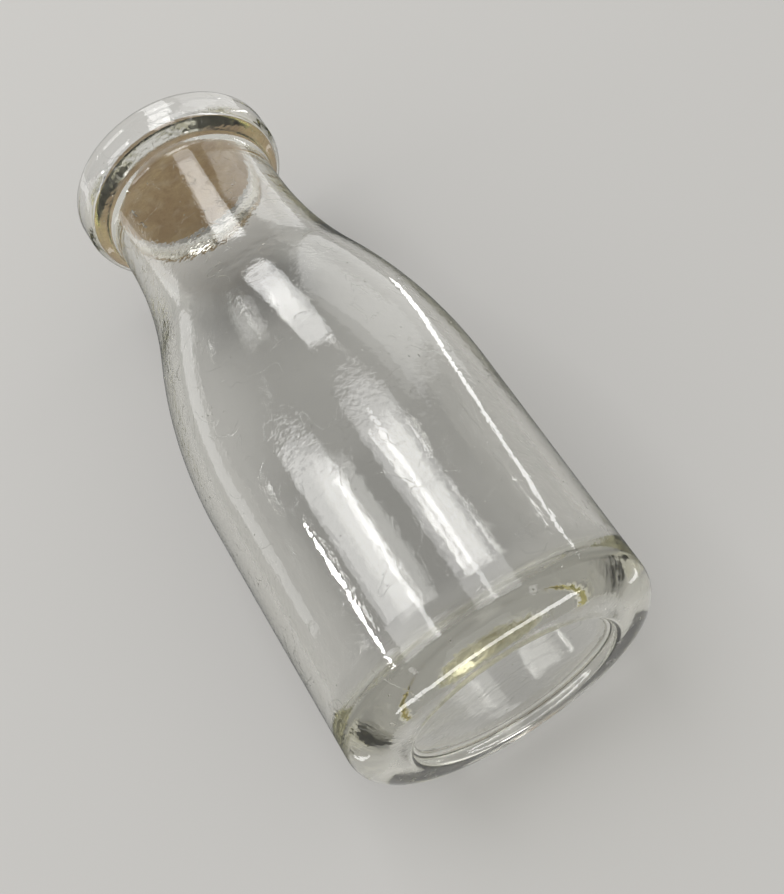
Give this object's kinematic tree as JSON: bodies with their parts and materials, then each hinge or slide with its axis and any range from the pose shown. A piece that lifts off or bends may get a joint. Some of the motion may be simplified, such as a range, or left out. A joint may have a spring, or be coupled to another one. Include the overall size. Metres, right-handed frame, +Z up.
{
  "type": "glass milk bottle",
  "caption": "Half-pint round milk bottle in clear glass with a long sloping shoulder, a heavy rounded lip ring and a waxed-board disc cap that has a stapled pull tab.",
  "frame": {"origin": "centre of the base, on the plane that the bottle stands on", "axes": "+Z up along the bottle's axis, out of the mouth; -X towards the stapled end of the pull tab; +Y across the tab"},
  "size_m": [0.0624, 0.0624, 0.143],
  "materials": {
    "clear_glass": "clear, slightly wavy old glass with a faint straw tint",
    "waxed_board": "waxed pulp board, satin",
    "tab_board": "plain tab board, matte",
    "staple_wire": "drawn wire, slightly dulled"
  },
  "bodies": {
    "bottle": {"glass_bottle": "clear_glass"},
    "cap": {"cap_disc": "waxed_board", "tab_foot": "tab_board", "cap_staple": "staple_wire"},
    "tab": {"pull_tab": "tab_board"}
  },
  "joints": [
    {"name": "cap_lift", "type": "slide", "parent": "bottle", "child": "cap", "axis": [0, 0, 1], "range_m": [0, 0.05]},
    {"name": "tab_lift", "type": "hinge", "parent": "cap", "child": "tab", "pos_m": [-0.0081, 0, 0.1381], "axis": [0, -1, 0], "range_deg": [0, 110]}
  ]
}
